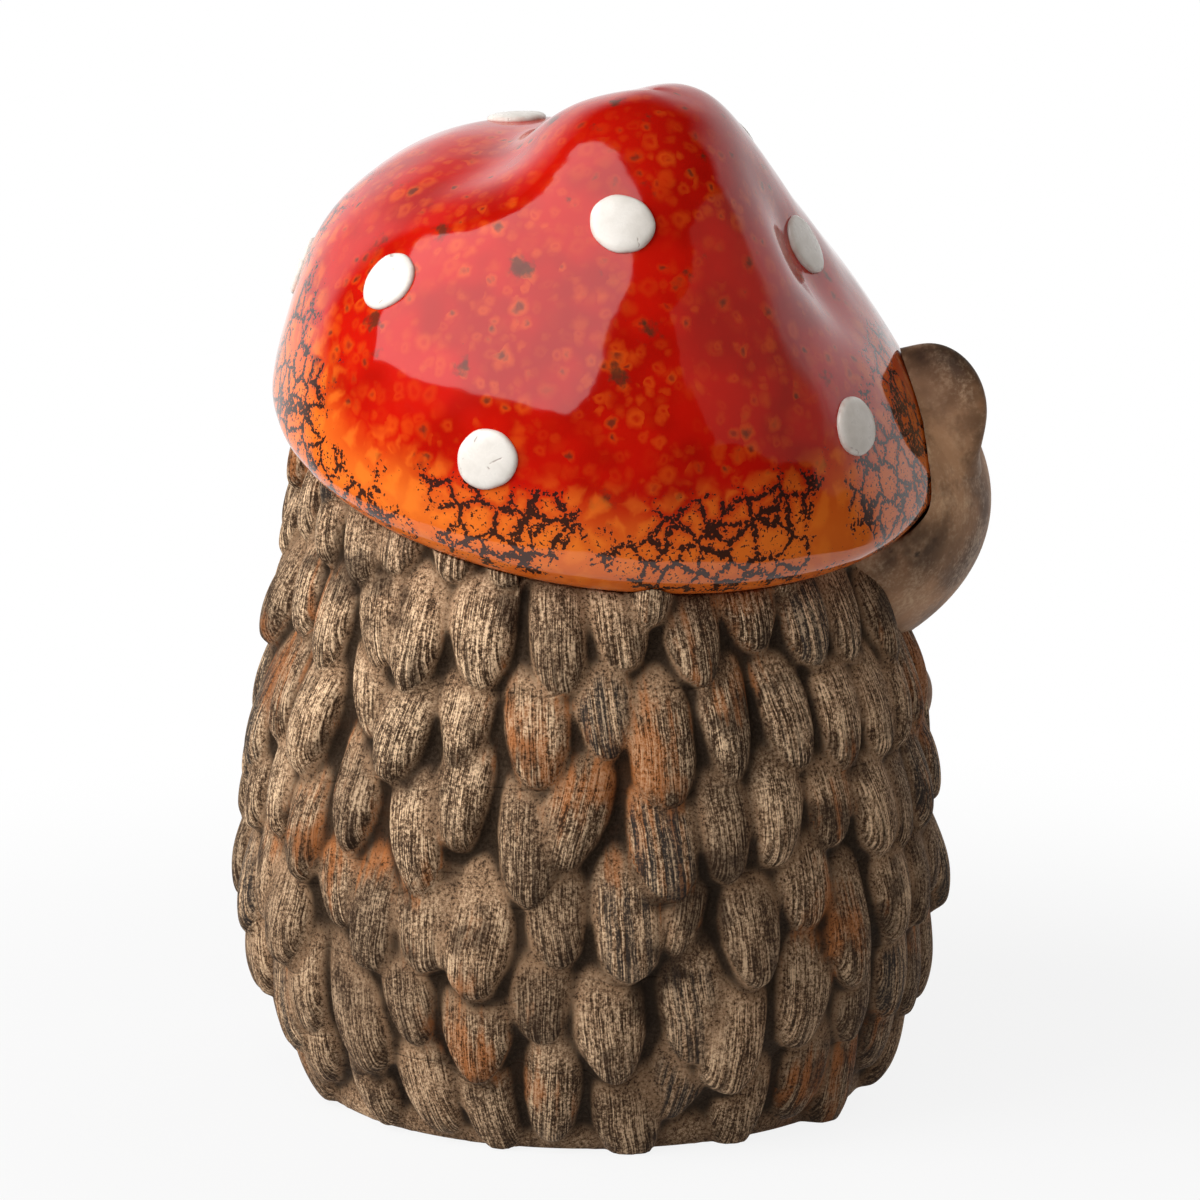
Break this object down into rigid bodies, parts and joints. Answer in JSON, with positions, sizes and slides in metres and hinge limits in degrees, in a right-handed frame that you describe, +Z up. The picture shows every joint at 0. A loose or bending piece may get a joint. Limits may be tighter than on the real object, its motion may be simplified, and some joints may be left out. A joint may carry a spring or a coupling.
{
  "type": "hedgehog figurine",
  "caption": "Free-standing ceramic hedgehog ornament: barrel body in overlapping drop-shaped quills, smooth face and belly, and a tilted, lobed red toadstool hat with raised white spots.",
  "frame": {"origin": "middle of the bounding box's footprint, on the surface the figure stands on", "axes": "+Z up out of the hat, -Y the way the face looks, +X towards the figure's left side"},
  "size_m": [0.1422, 0.1732, 0.1967],
  "materials": {
    "quill_bisque": "unglazed brown bisque, dry-brushed tan over a dark wash",
    "skin_bisque": "smooth unglazed tan bisque",
    "black_glaze": "gloss black glaze",
    "red_glaze": "gloss red reactive glaze that breaks to orange with black crackle near the rim",
    "white_dab": "satin off-white slip"
  },
  "bodies": {
    "root": {"body_shell": "skin_bisque", "cap_spot_01": "white_dab", "cap_spot_02": "white_dab", "cap_spot_03": "white_dab", "cap_spot_04": "white_dab", "cap_spot_05": "white_dab", "cap_spot_06": "white_dab", "cap_spot_07": "white_dab", "cap_spot_08": "white_dab", "cap_spot_09": "white_dab", "cap_spot_10": "white_dab", "cap_spot_11": "white_dab", "head": "skin_bisque", "left_arm": "skin_bisque", "left_ear": "skin_bisque", "left_eye": "black_glaze", "left_foot": "skin_bisque", "mushroom_cap": "red_glaze", "nose": "black_glaze", "quill_row_01": "quill_bisque", "quill_row_02": "quill_bisque", "quill_row_03": "quill_bisque", "quill_row_04": "quill_bisque", "quill_row_05": "quill_bisque", "quill_row_06": "quill_bisque", "quill_row_07": "quill_bisque", "quill_row_08": "quill_bisque", "right_arm": "skin_bisque", "right_ear": "skin_bisque", "right_eye": "black_glaze", "right_foot": "skin_bisque"}
  },
  "joints": []
}
